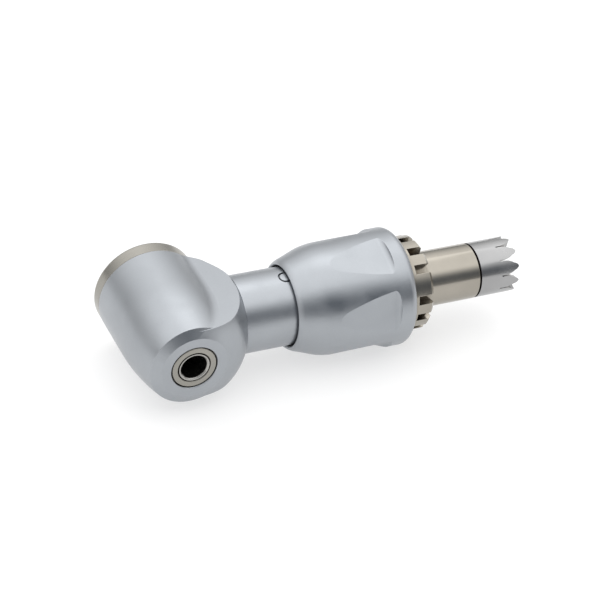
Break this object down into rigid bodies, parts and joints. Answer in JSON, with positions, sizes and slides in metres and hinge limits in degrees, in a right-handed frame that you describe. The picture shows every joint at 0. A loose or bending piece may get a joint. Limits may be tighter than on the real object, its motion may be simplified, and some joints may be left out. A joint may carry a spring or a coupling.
{
  "type": "contra angle handpiece head",
  "caption": "Detachable contra angle dental handpiece head with a push button bur chuck, bevel gears, ball bearings, locking sleeve and toothed drive coupling.",
  "frame": {"origin": "where the bur axis crosses the drive shaft axis, which is the apex shared by the two bevel gears", "axes": "+X along the drive axis from the head towards the toothed coupling; -Y along the bur axis, the way the bur leaves; +Y towards the push button; Z across the head"},
  "size_m": [0.0381, 0.0127, 0.0108],
  "materials": {
    "satin_shell": "fine satin bead blast",
    "plated_fitting": "warm nickel plate, semi bright",
    "clutch_steel": "machined, light satin",
    "hardened_steel": "ground hardened steel",
    "gear_steel": "cut and hardened",
    "bearing_steel": "ground",
    "ball_steel": "polished",
    "bearing_cage": "machined resin",
    "spring_steel": "drawn wire",
    "seal_rubber": "matte"
  },
  "bodies": {
    "head": {"head_housing": "satin_shell", "head_cap": "plated_fitting", "cap_seal_ring": "seal_rubber", "nose_shield": "plated_fitting", "button_spring": "spring_steel", "lower_bearing_outer_ring": "bearing_steel", "upper_bearing_outer_ring": "bearing_steel", "front_bearing_outer_ring": "bearing_steel", "rear_bearing_outer_ring": "bearing_steel", "spacer_tube": "hardened_steel", "preload_washer": "hardened_steel", "neck_set_pin": "hardened_steel", "spigot_tube": "plated_fitting", "index_ring": "plated_fitting", "sleeve_snap_ring": "spring_steel", "shaft_seal": "seal_rubber", "spigot_circlip": "spring_steel"},
    "button": {"push_button": "satin_shell", "button_pusher": "hardened_steel"},
    "spindle": {"chuck_spindle": "hardened_steel", "spindle_gear": "gear_steel", "lower_bearing_inner_ring": "bearing_steel", "upper_bearing_inner_ring": "bearing_steel", "bur_drive_key": "hardened_steel", "jaw_spring_ring": "spring_steel"},
    "jaw_left": {"latch_jaw_left": "hardened_steel"},
    "jaw_right": {"latch_jaw_right": "hardened_steel"},
    "lower_cage": {"lower_bearing_cage": "bearing_cage", "lower_bearing_balls": "ball_steel"},
    "upper_cage": {"upper_bearing_cage": "bearing_cage", "upper_bearing_balls": "ball_steel"},
    "front_cage": {"front_bearing_cage": "bearing_cage", "front_bearing_balls": "ball_steel"},
    "rear_cage": {"rear_bearing_cage": "bearing_cage", "rear_bearing_balls": "ball_steel"},
    "drive": {"drive_shaft": "hardened_steel", "drive_pinion": "gear_steel", "front_bearing_inner_ring": "bearing_steel", "rear_bearing_inner_ring": "bearing_steel", "shaft_circlip": "spring_steel", "crown_clutch": "clutch_steel", "crown_nut": "clutch_steel"},
    "sleeve": {"locking_sleeve": "satin_shell"}
  },
  "joints": [
    {"name": "button_press", "type": "slide", "parent": "head", "child": "button", "axis": [0, -1, 0], "range_m": [0, 0.00045], "stiffness_N_per_m": 2000, "springref_m": -0.0012, "deforming": ["button_spring"]},
    {"name": "drive_spin", "type": "hinge", "parent": "head", "child": "drive", "pos_m": [0.01, 0, 0], "axis": [1, 0, 0], "continuous": true},
    {"name": "spindle_spin", "type": "hinge", "parent": "head", "child": "spindle", "pos_m": [0, 0, 0], "axis": [0, 1, 0], "continuous": true},
    {"name": "lower_cage_spin", "type": "hinge", "parent": "head", "child": "lower_cage", "pos_m": [0, -0.0041, 0], "axis": [0, 1, 0], "continuous": true},
    {"name": "upper_cage_spin", "type": "hinge", "parent": "head", "child": "upper_cage", "pos_m": [0, 0.0037, 0], "axis": [0, 1, 0], "continuous": true},
    {"name": "front_cage_spin", "type": "hinge", "parent": "head", "child": "front_cage", "pos_m": [0.0053, 0, 0], "axis": [1, 0, 0], "continuous": true},
    {"name": "rear_cage_spin", "type": "hinge", "parent": "head", "child": "rear_cage", "pos_m": [0.0267, 0, 0], "axis": [1, 0, 0], "continuous": true},
    {"name": "sleeve_turn", "type": "hinge", "parent": "head", "child": "sleeve", "pos_m": [0.016, 0, 0], "axis": [1, 0, 0], "continuous": true},
    {"name": "jaw_left_open", "type": "slide", "parent": "spindle", "child": "jaw_left", "axis": [-1, 0, 0], "range_m": [0, 0.00031], "deforming": ["jaw_spring_ring"]},
    {"name": "jaw_right_open", "type": "slide", "parent": "spindle", "child": "jaw_right", "axis": [1, 0, 0], "range_m": [0, 0.00031], "deforming": ["jaw_spring_ring"]}
  ],
  "couplings": [
    {"joint": "spindle_spin", "follows": "drive_spin", "ratio": -1},
    {"joint": "lower_cage_spin", "follows": "drive_spin", "ratio": -0.41111},
    {"joint": "upper_cage_spin", "follows": "drive_spin", "ratio": -0.41111},
    {"joint": "front_cage_spin", "follows": "drive_spin", "ratio": 0.41111},
    {"joint": "rear_cage_spin", "follows": "drive_spin", "ratio": 0.40667},
    {"joint": "jaw_left_open", "follows": "button_press", "ratio": 0.6667},
    {"joint": "jaw_right_open", "follows": "button_press", "ratio": 0.6667}
  ]
}
